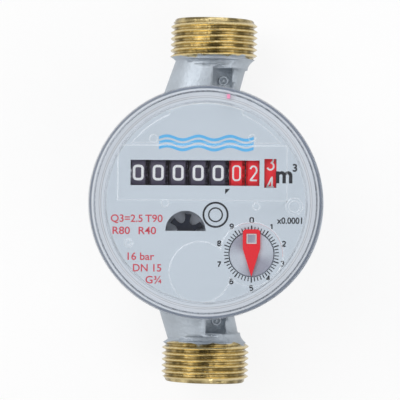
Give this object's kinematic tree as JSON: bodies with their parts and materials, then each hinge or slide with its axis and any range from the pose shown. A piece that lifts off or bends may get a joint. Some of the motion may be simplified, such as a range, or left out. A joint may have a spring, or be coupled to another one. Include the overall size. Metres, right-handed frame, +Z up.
{
  "type": "water meter",
  "caption": "Single-jet water meter: a cast pipe body with threaded ends under a round clear-capped register with number drums, a flow star and a pointer.",
  "frame": {"origin": "on the base, under the middle of the pipe", "axes": "+Z up through the dial, +Y along the pipe towards the inlet, +X to the right of the dial"},
  "size_m": [0.0688, 0.11, 0.0629],
  "materials": {
    "coated_body": "silver coating on cast brass, bare brass on the threads",
    "bare_brass": "turned",
    "steel": "ground",
    "bright_metal": "turned",
    "magnet": "sintered",
    "white_plastic": "moulded",
    "ivory_plastic": "moulded",
    "grey_plastic": "moulded",
    "pale_plastic": "moulded",
    "dial_silver": "silver lacquer",
    "dark_plastic": "moulded",
    "red_plastic": "moulded",
    "pink_plastic": "moulded",
    "rubber": "moulded",
    "clear_plastic": "clear moulded plastic"
  },
  "bodies": {
    "case": {"body": "coated_body", "inlet_strainer": "white_plastic", "lower_pivot": "steel", "head_plate": "ivory_plastic", "upper_pivot": "steel", "head_seal": "rubber", "magnet_shield": "steel", "clamp_ring": "bare_brass"},
    "impeller": {"impeller": "white_plastic", "impeller_magnet": "magnet"},
    "register": {"lock_ring": "pale_plastic", "register_base": "grey_plastic", "magnet_pin": "steel", "gear_plate": "grey_plastic", "axle_frame": "grey_plastic", "drum_axle": "steel", "carry_axle": "steel", "dial": "dial_silver", "dial_cover": "clear_plastic", "cap_gasket": "rubber", "clear_cap": "clear_plastic", "lock_tab": "pink_plastic"},
    "magnet": {"magnet_wheel": "white_plastic", "driven_magnet": "magnet"},
    "star": {"star_wheel": "white_plastic", "flow_star": "dark_plastic"},
    "middle": {"middle_wheel": "white_plastic"},
    "pointer": {"pointer_wheel": "white_plastic", "pointer_disc": "bright_metal", "pointer": "red_plastic", "pointer_square": "bright_metal"},
    "idler": {"idler_wheel": "white_plastic"},
    "worm": {"worm_wheel_shaft": "white_plastic", "drive_worm": "white_plastic"},
    "drum_1": {"drum_1": "dark_plastic"},
    "drum_2": {"drum_2": "dark_plastic"},
    "drum_3": {"drum_3": "dark_plastic"},
    "drum_4": {"drum_4": "dark_plastic"},
    "drum_5": {"drum_5": "dark_plastic"},
    "drum_6": {"drum_6": "red_plastic"},
    "drum_7": {"drum_7": "red_plastic"},
    "drum_8": {"drum_8": "red_plastic"},
    "carry_1": {"carry_pinion_1": "ivory_plastic"},
    "carry_2": {"carry_pinion_2": "ivory_plastic"},
    "carry_3": {"carry_pinion_3": "ivory_plastic"},
    "carry_4": {"carry_pinion_4": "ivory_plastic"},
    "carry_5": {"carry_pinion_5": "ivory_plastic"},
    "carry_6": {"carry_pinion_6": "ivory_plastic"},
    "carry_7": {"carry_pinion_7": "ivory_plastic"}
  },
  "joints": [
    {"name": "register_turn", "type": "hinge", "parent": "case", "child": "register", "pos_m": [0, -0.0009, 0.0333], "axis": [0, 0, 1], "range_deg": [-175, 175]},
    {"name": "impeller_spin", "type": "hinge", "parent": "case", "child": "impeller", "pos_m": [0, -0.0009, 0.012], "axis": [0, 0, 1], "continuous": true},
    {"name": "magnet_spin", "type": "hinge", "parent": "register", "child": "magnet", "pos_m": [0, -0.0009, 0.0348], "axis": [0, 0, 1], "continuous": true},
    {"name": "star_spin", "type": "hinge", "parent": "register", "child": "star", "pos_m": [-0.00563, -0.00922, 0.0348], "axis": [0, 0, 1], "continuous": true},
    {"name": "middle_spin", "type": "hinge", "parent": "register", "child": "middle", "pos_m": [0.00384, -0.01258, 0.0348], "axis": [0, 0, 1], "continuous": true},
    {"name": "pointer_spin", "type": "hinge", "parent": "register", "child": "pointer", "pos_m": [0.0135, -0.01533, 0.0348], "axis": [0, 0, 1], "continuous": true},
    {"name": "idler_spin", "type": "hinge", "parent": "register", "child": "idler", "pos_m": [0.01711, -0.00595, 0.0348], "axis": [0, 0, 1], "continuous": true},
    {"name": "worm_spin", "type": "hinge", "parent": "register", "child": "worm", "pos_m": [0.02375, 0.00159, 0.0348], "axis": [0, 0, 1], "continuous": true},
    {"name": "drum_8_spin", "type": "hinge", "parent": "register", "child": "drum_8", "pos_m": [-0.00018, 0.0076, 0.0468], "axis": [0.9998, 0.0209, 0], "continuous": true},
    {"name": "drum_7_spin", "type": "hinge", "parent": "register", "child": "drum_7", "pos_m": [-0.00018, 0.0076, 0.0468], "axis": [0.9998, 0.0209, 0], "continuous": true},
    {"name": "drum_6_spin", "type": "hinge", "parent": "register", "child": "drum_6", "pos_m": [-0.00018, 0.0076, 0.0468], "axis": [0.9998, 0.0209, 0], "continuous": true},
    {"name": "drum_5_spin", "type": "hinge", "parent": "register", "child": "drum_5", "pos_m": [-0.00018, 0.0076, 0.0468], "axis": [0.9998, 0.0209, 0], "continuous": true},
    {"name": "drum_4_spin", "type": "hinge", "parent": "register", "child": "drum_4", "pos_m": [-0.00018, 0.0076, 0.0468], "axis": [0.9998, 0.0209, 0], "continuous": true},
    {"name": "drum_3_spin", "type": "hinge", "parent": "register", "child": "drum_3", "pos_m": [-0.00018, 0.0076, 0.0468], "axis": [0.9998, 0.0209, 0], "continuous": true},
    {"name": "drum_2_spin", "type": "hinge", "parent": "register", "child": "drum_2", "pos_m": [-0.00018, 0.0076, 0.0468], "axis": [0.9998, 0.0209, 0], "continuous": true},
    {"name": "drum_1_spin", "type": "hinge", "parent": "register", "child": "drum_1", "pos_m": [-0.00018, 0.0076, 0.0468], "axis": [0.9998, 0.0209, 0], "continuous": true},
    {"name": "carry_7_spin", "type": "hinge", "parent": "register", "child": "carry_7", "pos_m": [-0.00035, 0.016, 0.03975], "axis": [0.9998, 0.0209, 0], "continuous": true},
    {"name": "carry_6_spin", "type": "hinge", "parent": "register", "child": "carry_6", "pos_m": [-0.00035, 0.016, 0.03975], "axis": [0.9998, 0.0209, 0], "continuous": true},
    {"name": "carry_5_spin", "type": "hinge", "parent": "register", "child": "carry_5", "pos_m": [-0.00035, 0.016, 0.03975], "axis": [0.9998, 0.0209, 0], "continuous": true},
    {"name": "carry_4_spin", "type": "hinge", "parent": "register", "child": "carry_4", "pos_m": [-0.00035, 0.016, 0.03975], "axis": [0.9998, 0.0209, 0], "continuous": true},
    {"name": "carry_3_spin", "type": "hinge", "parent": "register", "child": "carry_3", "pos_m": [-0.00035, 0.016, 0.03975], "axis": [0.9998, 0.0209, 0], "continuous": true},
    {"name": "carry_2_spin", "type": "hinge", "parent": "register", "child": "carry_2", "pos_m": [-0.00035, 0.016, 0.03975], "axis": [0.9998, 0.0209, 0], "continuous": true},
    {"name": "carry_1_spin", "type": "hinge", "parent": "register", "child": "carry_1", "pos_m": [-0.00035, 0.016, 0.03975], "axis": [0.9998, 0.0209, 0], "continuous": true}
  ],
  "couplings": [
    {"joint": "magnet_spin", "follows": "impeller_spin", "ratio": 1},
    {"joint": "star_spin", "follows": "impeller_spin", "ratio": -0.33333},
    {"joint": "middle_spin", "follows": "impeller_spin", "ratio": 0.11111},
    {"joint": "pointer_spin", "follows": "impeller_spin", "ratio": -0.037037},
    {"joint": "idler_spin", "follows": "impeller_spin", "ratio": 0.024691},
    {"joint": "worm_spin", "follows": "impeller_spin", "ratio": -0.037037},
    {"joint": "drum_8_spin", "follows": "impeller_spin", "ratio": -0.0037037},
    {"joint": "drum_7_spin", "follows": "impeller_spin", "ratio": -0.00037037},
    {"joint": "drum_6_spin", "follows": "impeller_spin", "ratio": -0.000037037},
    {"joint": "drum_5_spin", "follows": "impeller_spin", "ratio": -0.0000037037},
    {"joint": "drum_4_spin", "follows": "impeller_spin", "ratio": -0.00000037037},
    {"joint": "drum_3_spin", "follows": "impeller_spin", "ratio": -0.000000037037},
    {"joint": "drum_2_spin", "follows": "impeller_spin", "ratio": -0.0000000037037},
    {"joint": "drum_1_spin", "follows": "impeller_spin", "ratio": -0.00000000037037},
    {"joint": "carry_7_spin", "follows": "impeller_spin", "ratio": 0.00092593},
    {"joint": "carry_6_spin", "follows": "impeller_spin", "ratio": 0.000092593},
    {"joint": "carry_5_spin", "follows": "impeller_spin", "ratio": 0.0000092593},
    {"joint": "carry_4_spin", "follows": "impeller_spin", "ratio": 0.00000092593},
    {"joint": "carry_3_spin", "follows": "impeller_spin", "ratio": 0.000000092593},
    {"joint": "carry_2_spin", "follows": "impeller_spin", "ratio": 0.0000000092593},
    {"joint": "carry_1_spin", "follows": "impeller_spin", "ratio": 0.00000000092593}
  ]
}
